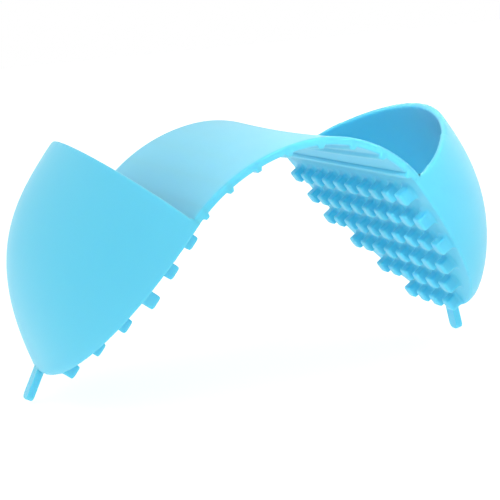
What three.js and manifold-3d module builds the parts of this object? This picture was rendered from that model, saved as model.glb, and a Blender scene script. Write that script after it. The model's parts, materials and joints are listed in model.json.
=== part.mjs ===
// Pinch mitt: one silicone strip bent into an arch, with a pocket on each end, nubs inside its grip
// and a hanging tab on each tip. Millimetres, +Z up; X runs along the span, from the finger half
// (-X) to the thumb half (+X), and Y across the width. The origin is on the ground under the middle.
import * as THREE from "three";
import { mergeVertices } from "three/addons/utils/BufferGeometryUtils.js";
import Module from "manifold-3d";

const wasm = await Module();
wasm.setup();

// Strip
const HALF_WIDTH = 48.6;
const HALF_LENGTH = 95.5; // from the middle of the strip to either tip, along the strip
const SHEET = 2.3;

// Bridge, the thin bending middle of the strip, as flat links with a hinge line between each two
const RIB_PITCH = 9.9;
const RIBS_PER_SIDE = 4;
const BRIDGE_HALF = 37.4; // where the bridge ends and a pocket begins
const RIB_WIDTH = 1.6;
const RIB_HEIGHT = 1;
const HINGE_GAP = 0.8;

// Bend of the standing arch, in degrees: the slope at the middle, then per millimetre to each side
const MIDDLE_SLOPE = -7.72;
const BEND_END = 40.1;
const FINGER_BEND = 42.6 / BEND_END;
const THUMB_BEND = 63.7 / BEND_END;

// Pockets
const POCKET_HEIGHT = 29.8;
const WALL = 2;
const FINGER_MOUTH_LEAN = -0.05; // how far a mouth leans to its tip, per millimetre of height
const THUMB_MOUTH_LEAN = 0.04;
const ROOF_POWER = 2.5;
const ARCH_POWER = 1.8;
const SEAM = 0.3; // clearance between neighbouring meshes
const TIP_WALL = 1.2; // a pocket's wall at its tip, as a share of the wall elsewhere
const TIP_SHARE = 0.98; // how near the last ring of a dome comes to its tip, as a share of a right angle
const CUT_PAST = 3; // how far the inner dome reaches past the outer one's mouth and foot
const RINGS = 18;
const RING_STEPS = 30;

// Ribs and nubs reach this far into the sheet
const SUNK = 0.5;

// Flat facets along a quarter turn
const PAD_FACETS = 40;
const CORNER_FACETS = 6;

// Blues of the moulding
const BRIDGE_BLUE = 0x8fd6f2;
const PAD_BLUE = 0x2fb4e2;
const POCKET_BLUE = 0x7fcdf0;
const TAB_BLUE = 0x9fdcf5;

// Nubs
const NUB = 4;
const NUB_HEIGHT = 4.2;
const NUB_ROW_PITCH = 9.5;
const NUB_COLUMN_PITCH = 8.8;
const FIRST_NUB_ROW = 42.3;
const NUBS_IN_ROW = [10, 10, 10, 8, 6, 4];

// Hanging tabs
const TAB_LENGTH = 8.2;
const TAB_WIDTH = 5;
const TAB_CORNER = 1.7;
const TAB_THICKNESS = 2.2;
const TAB_BEND = 24; // degrees inwards from the sheet
const TAB_GAP = 0.8;

const radians = THREE.MathUtils.degToRad;
const silicone = (color) => new THREE.MeshStandardMaterial({ color, roughness: 0.55, metalness: 0 });

// A closed three.js geometry as a manifold solid.
function solid(geometry) {
  const bare = geometry.clone();
  bare.deleteAttribute("normal");
  bare.deleteAttribute("uv");
  const merged = mergeVertices(bare, 1e-4);
  const corners = merged.index.array;
  const kept = [];
  for (let i = 0; i < corners.length; i += 3) {
    const [a, b, c] = corners.slice(i, i + 3);
    if (a !== b && b !== c && c !== a) kept.push(a, b, c);
  }
  const triVerts = new Uint32Array(kept);
  return new wasm.Manifold(
    new wasm.Mesh({ numProp: 3, vertProperties: merged.attributes.position.array, triVerts }),
  );
}

// A manifold solid as a named three.js mesh.
function mesh(name, body, color) {
  const { vertProperties, triVerts } = body.getMesh();
  const geometry = new THREE.BufferGeometry();
  geometry.setAttribute("position", new THREE.BufferAttribute(vertProperties, 3));
  geometry.setIndex(new THREE.BufferAttribute(triVerts, 1));
  geometry.computeVertexNormals();
  const made = new THREE.Mesh(geometry, silicone(color));
  made.name = name;
  return made;
}

function box(length, width, height, x, y, z) {
  return solid(new THREE.BoxGeometry(length, width, height).translate(x, y, z));
}

// One flat link of the bridge, centred on its hinge lines' middle, with the rib under it.
function link(name, length, ribOffset) {
  const plate = box(length - HINGE_GAP, 2 * HALF_WIDTH, SHEET, 0, 0, 0);
  const ribZ = -SHEET / 2 - (RIB_HEIGHT - SUNK) / 2;
  const rib = box(RIB_WIDTH, 2 * HALF_WIDTH, RIB_HEIGHT + SUNK, ribOffset, 0, ribZ);
  return mesh(name, plate.add(rib), BRIDGE_BLUE);
}

// Half width of one half at x from the end of the bridge: an ellipse.
const PAD_LENGTH = HALF_LENGTH - BRIDGE_HALF;
const widthAt = (x) => HALF_WIDTH * Math.sqrt(Math.max(0, 1 - (x / PAD_LENGTH) ** 2));

// The sheet of one half with its nubs below; x = 0 is the bridge's end, z = 0 the sheet's middle.
function gripPad(name) {
  const outline = new THREE.Shape();
  const start = HINGE_GAP / 2;
  const startAngle = Math.acos(start / PAD_LENGTH);
  outline.moveTo(start, -widthAt(start));
  outline.absellipse(0, 0, PAD_LENGTH, HALF_WIDTH, -startAngle, startAngle, false);
  outline.closePath();
  const sheet = new THREE.ExtrudeGeometry(outline, {
    depth: SHEET,
    bevelEnabled: false,
    curveSegments: PAD_FACETS,
  });
  let pad = solid(sheet.translate(0, 0, -SHEET / 2));
  NUBS_IN_ROW.forEach((count, row) => {
    const x = FIRST_NUB_ROW - BRIDGE_HALF + row * NUB_ROW_PITCH;
    for (let i = 0; i < count; i++) {
      const y = (i - (count - 1) / 2) * NUB_COLUMN_PITCH;
      const z = -SHEET / 2 - (NUB_HEIGHT - SUNK) / 2;
      pad = pad.add(box(NUB, NUB, NUB_HEIGHT + SUNK, x, y, z));
    }
  });
  return mesh(name, pad, PAD_BLUE);
}

// A closed body through rings that have the same number of points, with a fan over each end.
function loft(rings) {
  const count = rings[0].length;
  const last = rings.length - 1;
  const points = rings.flat();
  const middle = (ring) =>
    ring.reduce((sum, p) => sum.add(p), new THREE.Vector3()).divideScalar(count);
  const startCentre = points.push(middle(rings[0])) - 1;
  const endCentre = points.push(middle(rings[last])) - 1;
  const faces = [];
  for (let i = 0; i < count; i++) {
    const next = (i + 1) % count;
    faces.push(startCentre, next, i);
    faces.push(endCentre, last * count + i, last * count + next);
    for (let ring = 0; ring < last; ring++) {
      const a = ring * count + i;
      const b = ring * count + next;
      faces.push(a, b, b + count, a, b + count, a + count);
    }
  }
  const geometry = new THREE.BufferGeometry().setFromPoints(points);
  geometry.setIndex(faces);
  return solid(geometry);
}

// A closed dome from the mouth to the tip, shrunk by inset. Its foot reaches below the sheet's face by
// skirt, and its mouth forward by reach, so that the inner dome cuts the outer one right through.
function dome(lean, inset, skirt, reach) {
  const length = PAD_LENGTH - TIP_WALL * inset;
  const rings = [];
  for (let i = 0; i <= RINGS; i++) {
    const fraction = Math.sin((TIP_SHARE * i * Math.PI) / (2 * RINGS));
    const x = SEAM + fraction * (length - SEAM) - (i ? 0 : reach);
    const half = (HALF_WIDTH - inset) * Math.sqrt(1 - fraction ** 2);
    const height = (POCKET_HEIGHT - inset) * (1 - fraction ** ROOF_POWER);
    const at = (y, z) => new THREE.Vector3(x + z * lean, y, z);
    const ring = [];
    for (let j = 0; j <= RING_STEPS; j++) {
      const angle = (j * Math.PI) / RING_STEPS;
      const y = half * Math.sign(Math.cos(angle)) * Math.abs(Math.cos(angle)) ** (2 / ARCH_POWER);
      ring.push(at(y, height * Math.sin(angle) ** (2 / ARCH_POWER)));
    }
    if (skirt) ring.push(at(-half, -skirt), at(half, -skirt));
    rings.push(ring);
  }
  return loft(rings);
}

// The hollow pocket over one half's sheet, open at its mouth and at its foot, where the sheet is.
function pocket(name, lean) {
  const shell = dome(lean, 0, 0, 0).subtract(dome(lean, WALL, CUT_PAST, CUT_PAST));
  return mesh(name, shell.translate([0, 0, SHEET / 2 + SEAM]), POCKET_BLUE);
}

// A hanging tab with a rounded end, its root at x = 0 and its length along x.
function tab(name) {
  const outline = new THREE.Shape();
  const cornerX = TAB_LENGTH - TAB_CORNER;
  const cornerY = TAB_WIDTH / 2 - TAB_CORNER;
  outline.moveTo(0, -TAB_WIDTH / 2);
  outline.absarc(cornerX, -cornerY, TAB_CORNER, -Math.PI / 2, 0, false);
  outline.absarc(cornerX, cornerY, TAB_CORNER, 0, Math.PI / 2, false);
  outline.lineTo(0, TAB_WIDTH / 2);
  outline.closePath();
  const plate = new THREE.ExtrudeGeometry(outline, {
    depth: TAB_THICKNESS,
    bevelEnabled: false,
    curveSegments: CORNER_FACETS,
  });
  return mesh(name, solid(plate.translate(0, 0, -TAB_THICKNESS / 2)), TAB_BLUE);
}

// One whole half in a group whose origin is on the bridge's end and whose +X points to the tip.
function half(side, lean) {
  const group = new THREE.Group();
  const hanging = tab(`${side}_tab`);
  hanging.position.x = PAD_LENGTH + TAB_GAP + (TAB_THICKNESS / 2) * Math.sin(radians(TAB_BEND));
  hanging.rotation.y = radians(TAB_BEND);
  group.add(gripPad(`${side}_grip_pad`), pocket(`${side}_pocket`, lean), hanging);
  return group;
}

// The arch, laid out from the middle of the strip to each side: links, then a half.
const arch = new THREE.Group();
const sides = [
  { side: "finger", way: -1, bend: FINGER_BEND, lean: FINGER_MOUTH_LEAN },
  { side: "thumb", way: 1, bend: THUMB_BEND, lean: THUMB_MOUTH_LEAN },
];
for (const { side, way, bend, lean } of sides) {
  let x = 0;
  let z = 0;
  for (let i = 0; i < RIBS_PER_SIDE; i++) {
    const from = i * RIB_PITCH;
    const to = Math.min(from + RIB_PITCH, BRIDGE_HALF);
    const length = to - from;
    const ribOffset = way * ((i + 0.5) * RIB_PITCH - (from + to) / 2);
    const drop = radians(way * MIDDLE_SLOPE + (bend * (from + to)) / 2);
    const placed = link(`${side}_bridge_link_${i + 1}`, length, ribOffset);
    placed.position.set(x + (way * length * Math.cos(drop)) / 2, 0, z - (length * Math.sin(drop)) / 2);
    placed.rotation.y = way * drop;
    arch.add(placed);
    x += way * length * Math.cos(drop);
    z -= length * Math.sin(drop);
  }
  const placed = half(side, lean);
  placed.position.set(x, 0, z);
  placed.rotation.y = radians(way * MIDDLE_SLOPE + bend * BEND_END);
  const turned = new THREE.Group();
  turned.rotation.z = way < 0 ? Math.PI : 0;
  if (way < 0) placed.position.x = -x;
  turned.add(placed);
  arch.add(turned);
}

// Standing on its two tabs, with the origin under the middle.
const bounds = new THREE.Box3().setFromObject(arch, true);
arch.position.set(-(bounds.min.x + bounds.max.x) / 2, 0, -bounds.min.z);

export default new THREE.Group().add(arch);
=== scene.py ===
"""Pinch mitt in light blue silicone, standing as an arch on its two tabs."""

import json
import math

import bmesh
import bpy
from mathutils import Matrix, Vector


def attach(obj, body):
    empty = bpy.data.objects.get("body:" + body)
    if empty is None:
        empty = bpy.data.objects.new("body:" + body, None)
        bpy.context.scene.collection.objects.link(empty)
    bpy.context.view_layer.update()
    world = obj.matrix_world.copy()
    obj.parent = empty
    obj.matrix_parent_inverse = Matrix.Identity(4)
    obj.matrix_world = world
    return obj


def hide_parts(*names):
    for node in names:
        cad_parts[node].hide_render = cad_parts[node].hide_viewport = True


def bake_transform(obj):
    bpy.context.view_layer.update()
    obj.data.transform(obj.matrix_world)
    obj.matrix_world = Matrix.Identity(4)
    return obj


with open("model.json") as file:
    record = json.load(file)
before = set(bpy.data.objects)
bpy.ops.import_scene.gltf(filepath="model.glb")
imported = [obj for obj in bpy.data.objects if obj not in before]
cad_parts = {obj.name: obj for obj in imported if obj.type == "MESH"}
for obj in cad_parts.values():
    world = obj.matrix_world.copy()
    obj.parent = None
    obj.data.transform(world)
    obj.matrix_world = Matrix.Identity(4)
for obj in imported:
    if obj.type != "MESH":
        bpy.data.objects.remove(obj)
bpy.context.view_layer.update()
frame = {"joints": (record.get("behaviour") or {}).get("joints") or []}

MM = 0.001

# The strip, in millimetres, measured along it from its middle.
HALF_WIDTH = 48.6
HALF_LENGTH = 95.5
SHEET = 2.3
RIB_PITCH = 9.9
RIBS_PER_SIDE = 4
RIB_WIDTH = 1.7
RIB_HEIGHT = 1.0
BRIDGE_HALF = 37.4
EDGE_RADIUS = 0.85
SADDLE = 1.2  # how far the middle of the bridge's width dips, as a bent strip's does
SADDLE_POWER = 1.5
RIB_FOOT = 1.25  # where a rib's shoulder starts, as a share of half its width
RIB_SHOULDER = 0.55
RIB_ROUNDNESS = 0.7
SECTION_PITCH = 0.3

# The bend, in degrees: the slope at the middle, then per millimetre to each side.
MIDDLE_SLOPE = -7.72
BEND_END = 40.1
BEND = {-1: 42.6 / BEND_END, 1: 63.7 / BEND_END}

# Pockets, nubs and tabs. A value for each side is -1 for the finger half and 1 for the thumb half.
POCKET_HEIGHT = {-1: 32.0, 1: 30.6}
WALL = 2.1
SEAM = 0.3
MOUTH_LEAN = {-1: 0.0, 1: 0.04}
ROOF_POWER = {-1: 3.0, 1: 2.7}
ARCH_POWER = 1.8
TIP_WALL = 1.2  # a pocket's wall at its tip, as a share of the wall elsewhere
TIP_SHARE = 0.985  # how near the last ring of a dome comes to its tip, as a share of a right angle
SUNK = 0.6  # how far pockets and nubs reach into the sheet
SHEET_OVERLAP = 6.0  # how far a half's sheet reaches back into the bridge before it is cut
NUB = 4.2
NUB_HEIGHT = 4.3
NUB_ROW_PITCH = 9.5
NUB_COLUMN_PITCH = 8.8
FIRST_NUB_ROW = 42.3
NUBS_IN_ROW = (10, 10, 10, 8, 6, 4)
TAB_LENGTH = 8.2
TAB_WIDTH = 5.0
TAB_CORNER = 1.7
TAB_THICKNESS = 2.2
TAB_BEND = {-1: 12.0, 1: 24.0}
TAB_GAP = 0.8
TAB_SUNK = 2.2
FLEX_BEFORE = 1.0  # the stretch to each side of a tab's root
FLEX_AFTER = 2.0

SIDE_NAME = {-1: "finger", 1: "thumb"}
VOXEL = 0.5
TAB_VOXEL = 0.22
SMOOTH_ROUNDS = 5

JOINTS = {joint["name"]: joint for joint in frame["joints"]}
MIDDLE = Vector(JOINTS["bridge_fold_5"]["pos_m"]) / MM


def drop_at(s):
    """How steeply the strip falls away from its middle at s, in radians."""
    side = 1 if s >= 0 else -1
    return math.radians(side * MIDDLE_SLOPE + BEND[side] * min(abs(s), BEND_END))


def place(s, y, n):
    """The point of the bent strip at s along it, y across it and n out from its middle surface."""
    side = 1 if s >= 0 else -1
    bend = math.radians(BEND[side])
    start = math.radians(side * MIDDLE_SLOPE)
    drop = drop_at(s)
    curved = min(abs(s), BEND_END)
    out = (math.sin(start + bend * curved) - math.sin(start)) / bend
    down = (math.cos(start) - math.cos(start + bend * curved)) / bend
    straight = abs(s) - curved
    out += straight * math.cos(drop)
    down += straight * math.sin(drop)
    n -= SADDLE * (1 - (y / HALF_WIDTH) ** 2) * max(0.0, 1 - (s / BRIDGE_HALF) ** 2) ** SADDLE_POWER
    x = MIDDLE.x + side * (out + n * math.sin(drop))
    z = MIDDLE.z - down + n * math.cos(drop)
    return Vector((x, y, z)) * MM


def new_object(name, bm):
    """A smooth-shaded object from bm, which is freed."""
    mesh = bpy.data.meshes.new(name)
    bm.normal_update()
    bm.to_mesh(mesh)
    bm.free()
    mesh.shade_smooth()
    made = bpy.data.objects.new(name, mesh)
    bpy.context.scene.collection.objects.link(made)
    return made


def skin(bm, rings, close_ends=True):
    """Faces between neighbouring rings of points, and over both ends."""
    rows = [[bm.verts.new(point) for point in ring] for ring in rings]
    count = len(rows[0])
    for low, high in zip(rows, rows[1:]):
        for i in range(count):
            j = (i + 1) % count
            bm.faces.new((low[i], low[j], high[j], high[i]))
    if close_ends:
        bm.faces.new(reversed(rows[0]))
        bm.faces.new(rows[-1])


# --- the bridge -------------------------------------------------------------------------------


def rib_depth(s):
    """How far the ribs stand below the sheet at s, with rounded shoulders."""
    depth = 0.0
    for i in range(RIBS_PER_SIDE):
        away = abs(abs(s) - (i + 0.5) * RIB_PITCH) / (RIB_WIDTH / 2)
        if away < RIB_FOOT:
            depth = RIB_HEIGHT * min(1.0, (RIB_FOOT - away) / RIB_SHOULDER) ** RIB_ROUNDNESS
    return depth


def strip_section(s):
    """The closed outline across the bridge at s: flat faces, round edges, ribs below."""
    top = SHEET / 2
    shoulder = top - EDGE_RADIUS
    inner = HALF_WIDTH - EDGE_RADIUS
    points = []
    across = 36
    for i in range(across + 1):
        points.append((-inner + 2 * inner * i / across, top))
    steps = 5
    for i in range(1, steps):
        angle = math.pi / 2 * (1 - i / steps)
        points.append((inner + EDGE_RADIUS * math.cos(angle), shoulder + EDGE_RADIUS * math.sin(angle)))
    low = -top - rib_depth(s)
    heel = low + EDGE_RADIUS
    for i in range(1, steps):
        angle = -math.pi / 2 * i / steps
        points.append((inner + EDGE_RADIUS * math.cos(angle), heel + EDGE_RADIUS * math.sin(angle)))
    for i in range(across + 1):
        points.append((inner - 2 * inner * i / across, low))
    for i in range(1, steps):
        angle = math.pi / 2 * i / steps
        points.append((-inner - EDGE_RADIUS * math.sin(angle), heel - EDGE_RADIUS * math.cos(angle)))
    for i in range(1, steps):
        angle = math.pi / 2 * i / steps
        points.append((-inner - EDGE_RADIUS * math.cos(angle), shoulder + EDGE_RADIUS * math.sin(angle)))
    return [place(s, y, n) for y, n in points]


def bridge_piece(number, low, high):
    """The skin between the middles of two neighbouring links, curved like the strip across their joint.
    """
    steps = max(4, round((high - low) / SECTION_PITCH))
    bm = bmesh.new()
    sections = [strip_section(low + (high - low) * i / steps) for i in range(steps + 1)]
    skin(bm, [list(reversed(section)) for section in sections], close_ends=False)
    made = new_object(f"bridge_skin_{number}", bm)
    place(low, 0, 0)
    place(high, 0, 0)
    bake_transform(made)
    return made


def bridge():
    """The nine pieces of the bridge, one across each hinge, meeting at the middles of the links."""
    inner = [(i + 0.5) * RIB_PITCH for i in range(RIBS_PER_SIDE - 1)]
    last = (inner[-1] + RIB_PITCH / 2 + BRIDGE_HALF) / 2
    middles = sorted([-BRIDGE_HALF, -last] + [-m for m in inner] + inner + [last, BRIDGE_HALF])
    chain = [JOINTS[f"bridge_fold_{i}"] for i in range(1, 2 * RIBS_PER_SIDE + 2)]
    made = []
    for number, joint in enumerate(chain):
        low, high = middles[number], middles[number + 1]
        made.append(bridge_piece(number + 1, low, high))
    return made


# --- the two halves ---------------------------------------------------------------------------


def add_sheet(bm):
    """The sheet of one half as a closed plate, reaching back into the bridge to be cut there."""
    length = HALF_LENGTH - BRIDGE_HALF
    outline = [(-SHEET_OVERLAP, HALF_WIDTH), (-SHEET_OVERLAP, -HALF_WIDTH)]
    steps = 160
    for i in range(steps + 1):
        angle = -math.pi / 2 + math.pi * i / steps
        outline.append((length * math.cos(angle), HALF_WIDTH * math.sin(angle)))
    low = [(x, y, -SHEET / 2) for x, y in outline]
    high = [(x, y, SHEET / 2) for x, y in outline]
    skin(bm, [low, high])


def dome_ring(fraction, side, inset, foot):
    """One arch of the dome, at a share of the way to the tip."""
    length = HALF_LENGTH - BRIDGE_HALF - TIP_WALL * inset
    half = (HALF_WIDTH - inset) * math.sqrt(1 - fraction**2)
    height = (POCKET_HEIGHT[side] - inset) * (1 - fraction ** ROOF_POWER[side])
    x = SEAM + fraction * (length - SEAM)
    lean = MOUTH_LEAN[side] * (1 - fraction)
    ring = []
    around = 72
    for i in range(around + 1):
        angle = math.pi * i / around
        y = half * math.copysign(abs(math.cos(angle)) ** (2 / ARCH_POWER), math.cos(angle))
        z = height * math.sin(angle) ** (2 / ARCH_POWER)
        ring.append((x + z * lean, y, z + foot))
    return ring


def add_pocket(bm, side):
    """The dome as a closed thin shell: its outside, its inside, its rim and its foot."""
    foot = SHEET / 2 - SUNK
    along = 48
    rings = []
    shares = [math.sin(TIP_SHARE * math.pi / 2 * i / along) for i in range(along + 1)]
    for share in shares:
        outer = dome_ring(share, side, 0.0, foot)
        inner = dome_ring(share, side, WALL, foot)
        rings.append(outer + list(reversed(inner)))
    skin(bm, rings)


def add_nubs(bm):
    """Rows of square nubs under the sheet, shorter towards the tip."""
    for row, count in enumerate(NUBS_IN_ROW):
        x = FIRST_NUB_ROW - BRIDGE_HALF + row * NUB_ROW_PITCH
        for i in range(count):
            y = (i - (count - 1) / 2) * NUB_COLUMN_PITCH
            height = NUB_HEIGHT + SUNK
            centre = Matrix.Translation((x, y, -SHEET / 2 + SUNK - height / 2))
            bmesh.ops.create_cube(bm, size=1, matrix=centre @ Matrix.Diagonal((NUB, NUB, height, 1)))


def moulded(bm, name, voxel):
    """The overlapping closed solids in bm as one continuous skin with softly rounded edges."""
    made = new_object(name, bm)
    remesh = made.modifiers.new("one_skin", "REMESH")
    remesh.mode = "VOXEL"
    remesh.voxel_size = voxel
    smooth = made.modifiers.new("soft_edges", "SMOOTH")
    smooth.factor = 0.5
    smooth.iterations = SMOOTH_ROUNDS
    graph = bpy.context.evaluated_depsgraph_get()
    mesh = bpy.data.meshes.new_from_object(made.evaluated_get(graph))
    made.modifiers.clear()
    made.data = mesh
    return made


def half(side):
    """One half: sheet, pocket and nubs as one moulding, riding on its body."""
    name = SIDE_NAME[side]
    bm = bmesh.new()
    add_sheet(bm)
    add_pocket(bm, side)
    add_nubs(bm)
    bmesh.ops.recalc_face_normals(bm, faces=bm.faces)
    made = moulded(bm, f"{name}_half_skin", VOXEL)
    bm = bmesh.new()
    bm.from_mesh(made.data)
    sheet_faces = [face for face in bm.faces if all(vertex.co.z < SHEET for vertex in face.verts)]
    sheet_edges = {edge for face in sheet_faces for edge in face.edges}
    sheet_verts = {vertex for face in sheet_faces for vertex in face.verts}
    geometry = [*sheet_verts, *sheet_edges, *sheet_faces]
    bmesh.ops.bisect_plane(bm, geom=geometry, plane_co=(0, 0, 0), plane_no=(-1, 0, 0), clear_outer=True)
    for vertex in bm.verts:
        x, y, z = vertex.co
        vertex.co = place(side * (BRIDGE_HALF + x), side * y, z)
    bmesh.ops.recalc_face_normals(bm, faces=bm.faces)
    bm.to_mesh(made.data)
    bm.free()
    made.data.shade_smooth()
    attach(made, f"{name}_half")
    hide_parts(f"{name}_grip_pad", f"{name}_pocket")
    return made


def tab(side):
    """The hanging tab, sunk into the tip and bending at its root."""
    name = SIDE_NAME[side]
    steps = 12
    bm = bmesh.new()
    outline = [(-TAB_SUNK, TAB_WIDTH / 2), (-TAB_SUNK, -TAB_WIDTH / 2)]
    for sign in (-1, 1):
        for i in range(steps + 1):
            angle = math.pi / 2 * (i / steps - (1 if sign < 0 else 0))
            x = TAB_LENGTH - TAB_CORNER + TAB_CORNER * math.cos(angle)
            y = sign * (TAB_WIDTH / 2 - TAB_CORNER) + TAB_CORNER * math.sin(angle)
            outline.append((x, y))
    low = [(x, y, -TAB_THICKNESS / 2) for x, y in outline]
    high = [(x, y, TAB_THICKNESS / 2) for x, y in outline]
    skin(bm, [low, high])
    bmesh.ops.recalc_face_normals(bm, faces=bm.faces)
    made = moulded(bm, f"{name}_tab_skin", TAB_VOXEL)
    bend = math.radians(TAB_BEND[side])
    root = HALF_LENGTH - BRIDGE_HALF + TAB_GAP + TAB_THICKNESS / 2 * math.sin(bend)
    for vertex in made.data.vertices:
        x, y, z = vertex.co
        along = root + math.cos(bend) * x + math.sin(bend) * z
        out = -math.sin(bend) * x + math.cos(bend) * z
        vertex.co = place(side * (BRIDGE_HALF + along), side * y, out)
    made.data.update()
    made.data.shade_smooth()
    if side < 0:
        made.data.flip_normals()
    start = place(side * (BRIDGE_HALF + root - FLEX_BEFORE), 0, 0)
    end = place(side * (BRIDGE_HALF + root + FLEX_AFTER), 0, 0)
    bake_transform(made)
    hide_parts(f"{name}_tab")
    return made


# --- silicone ---------------------------------------------------------------------------------


def silicone(name, colour, deep):
    """Soft matte silicone: cloudy colour, light scattering inside, fine moulded grain."""
    material = bpy.data.materials.new(name)
    material.use_nodes = True
    nodes, links = material.node_tree.nodes, material.node_tree.links
    shader = nodes["Principled BSDF"]
    shader.subsurface_method = "RANDOM_WALK"
    shader.inputs["Subsurface Weight"].default_value = 0.55
    shader.inputs["Subsurface Radius"].default_value = (0.6, 1.0, 1.3)
    shader.inputs["Subsurface Scale"].default_value = 0.002
    shader.inputs["Specular IOR Level"].default_value = 0.8
    shader.inputs["Sheen Weight"].default_value = 0.2
    shader.inputs["Sheen Roughness"].default_value = 0.5
    shader.inputs["IOR"].default_value = 1.41
    place_on = nodes.new("ShaderNodeTexCoord")
    cloud = nodes.new("ShaderNodeTexNoise")
    cloud.inputs["Scale"].default_value = 18.0
    cloud.inputs["Detail"].default_value = 3.0
    tint = nodes.new("ShaderNodeMix")
    tint.data_type = "RGBA"
    tint.inputs["A"].default_value = (*colour, 1)
    tint.inputs["B"].default_value = (*deep, 1)
    links.new(place_on.outputs["Object"], cloud.inputs["Vector"])
    links.new(cloud.outputs["Fac"], tint.inputs["Factor"])
    links.new(tint.outputs["Result"], shader.inputs["Base Color"])
    grain = nodes.new("ShaderNodeTexNoise")
    grain.inputs["Scale"].default_value = 2600.0
    grain.inputs["Detail"].default_value = 4.0
    links.new(place_on.outputs["Object"], grain.inputs["Vector"])
    bump = nodes.new("ShaderNodeBump")
    bump.inputs["Strength"].default_value = 0.12
    bump.inputs["Distance"].default_value = 0.00006
    links.new(grain.outputs["Fac"], bump.inputs["Height"])
    links.new(bump.outputs["Normal"], shader.inputs["Normal"])
    rough = nodes.new("ShaderNodeMapRange")
    rough.inputs["To Min"].default_value = 0.46
    rough.inputs["To Max"].default_value = 0.6
    links.new(cloud.outputs["Fac"], rough.inputs["Value"])
    links.new(rough.outputs["Result"], shader.inputs["Roughness"])
    return material


# --- build ------------------------------------------------------------------------------------

blue = silicone("blue_silicone", (0.10, 0.60, 0.79), (0.085, 0.57, 0.77))

links_of_bridge = [
    f"{side}_bridge_link_{i + 1}" for side in SIDE_NAME.values() for i in range(RIBS_PER_SIDE)
]
bridge_skins = bridge()
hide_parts(*links_of_bridge)
halves = [half(side) for side in (-1, 1)]
tabs = [tab(side) for side in (-1, 1)]
for piece in bridge_skins + halves + tabs:
    piece.data.materials.clear()
    piece.data.materials.append(blue)


# --- floor, light and camera ------------------------------------------------------------------


def stage():
    """A white floor, bright enough to leave only a faint shadow."""
    bm = bmesh.new()
    bmesh.ops.create_grid(bm, x_segments=8, y_segments=8, size=3.0)
    floor = new_object("floor", bm)
    material = bpy.data.materials.new("floor_white")
    material.use_nodes = True
    shader = material.node_tree.nodes["Principled BSDF"]
    shader.inputs["Base Color"].default_value = (0.35, 0.35, 0.35, 1)
    shader.inputs["Emission Color"].default_value = (1, 1, 1, 1)
    shader.inputs["Emission Strength"].default_value = 0.8
    shader.inputs["Roughness"].default_value = 0.9
    floor.data.materials.append(material)


AIM = (0, 0, 0.04)


def lamp(name, where, aimed_at, size, power, spread=180):
    light = bpy.data.lights.new(name, "AREA")
    light.size = size
    light.energy = power
    light.spread = math.radians(spread)
    made = bpy.data.objects.new(name, light)
    made.location = where
    aim = Vector(aimed_at) - Vector(where)
    made.rotation_euler = aim.to_track_quat("-Z", "Y").to_euler()
    bpy.context.scene.collection.objects.link(made)


def camera():
    data = bpy.data.cameras.new("camera")
    data.sensor_width = 36
    data.lens = 104.9
    data.clip_start = 0.01
    azimuth, elevation, roll = math.radians(19.66), math.radians(9.71), math.radians(4.97)
    made = bpy.data.objects.new("camera", data)
    level = Matrix.Rotation(-azimuth, 4, "Z") @ Matrix.Rotation(math.pi / 2 - elevation, 4, "X")
    where = Matrix.Translation((-0.14811, -0.41351, 0.11068))
    made.matrix_world = where @ level @ Matrix.Rotation(-roll, 4, "Z")
    bpy.context.scene.collection.objects.link(made)
    bpy.context.scene.camera = made


stage()
lamp("key", (0.1, -0.45, 0.8), AIM, 0.7, 0.6)
lamp("back", (0.1, 0.7, 0.7), AIM, 0.8, 0.5)
lamp("thumb_pocket_fill", (-0.16, -0.3, 0.3), (0.05, 0, 0.055), 0.06, 0.01, spread=14)
camera()
world = bpy.data.worlds.new("studio")
world.use_nodes = True
world.node_tree.nodes["Background"].inputs["Color"].default_value = (1, 1, 1, 1)
world.node_tree.nodes["Background"].inputs["Strength"].default_value = 1.0
bpy.context.scene.world = world
bpy.context.scene.view_settings.view_transform = "Standard"
